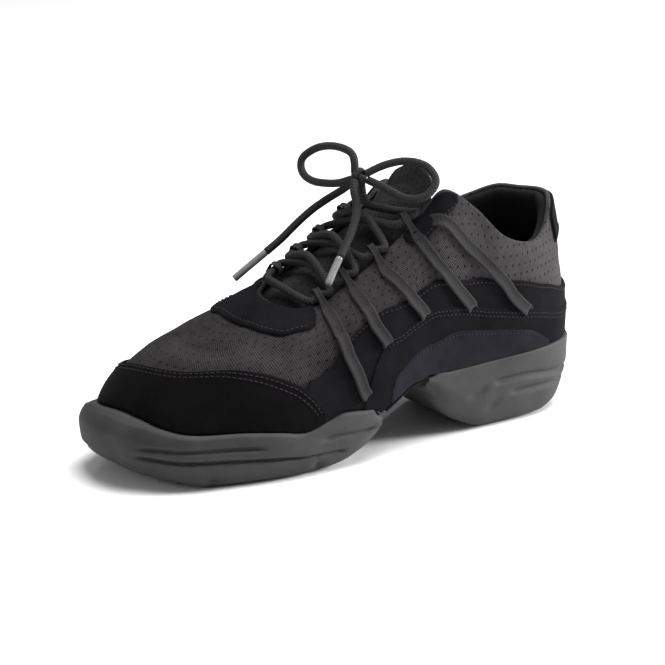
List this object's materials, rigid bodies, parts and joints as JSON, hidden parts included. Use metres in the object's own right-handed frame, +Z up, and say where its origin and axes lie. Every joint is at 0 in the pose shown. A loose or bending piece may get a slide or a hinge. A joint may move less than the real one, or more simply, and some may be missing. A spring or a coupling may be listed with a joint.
{
  "type": "dance sneaker",
  "caption": "Low split-sole dance sneaker for the left foot: mesh and suede upper, webbing lace loops, round bow-tied laces, separate forefoot and heel soles.",
  "frame": {"origin": "on the floor under the middle of the shoe's length and width", "axes": "+Z up, +Y from toe to heel, +X towards the wearer's left, which is the outer side of this left shoe"},
  "size_m": [0.0946, 0.2589, 0.1362],
  "materials": {
    "aglet_plastic": "satin plastic",
    "side_layer": "brushed cloth",
    "lining_cloth": "padded spacer mesh",
    "suede": "napped suede",
    "sole_rubber": "matte moulded foam rubber",
    "footbed_cloth": "smooth knit",
    "lace_cord": "braided cord",
    "webbing": "ribbed webbing",
    "tongue_mesh": "padded mesh",
    "upper_mesh": "woven mesh"
  },
  "bodies": {
    "root": {"aglet_left": "aglet_plastic", "aglet_right": "aglet_plastic", "arch_cover": "side_layer", "collar_lining": "lining_cloth", "eyestay": "suede", "forefoot_sole": "sole_rubber", "foxing": "suede", "heel_sole": "sole_rubber", "heel_tab": "suede", "insole": "footbed_cloth", "lace_bars": "lace_cord", "lace_end_left": "lace_cord", "lace_end_right": "lace_cord", "lace_knot": "lace_cord", "lace_loop_left": "lace_cord", "lace_loop_right": "lace_cord", "side_band": "suede", "side_layer_lateral": "side_layer", "side_layer_medial": "side_layer", "strap_lateral_1": "webbing", "strap_lateral_2": "webbing", "strap_lateral_3": "webbing", "strap_lateral_4": "webbing", "strap_lateral_5": "webbing", "strap_medial_1": "webbing", "strap_medial_2": "webbing", "strap_medial_3": "webbing", "strap_medial_4": "webbing", "strap_medial_5": "webbing", "throat_corner_lateral": "suede", "throat_corner_medial": "suede", "toe_cap": "suede", "tongue": "tongue_mesh", "upper": "upper_mesh"}
  },
  "joints": []
}
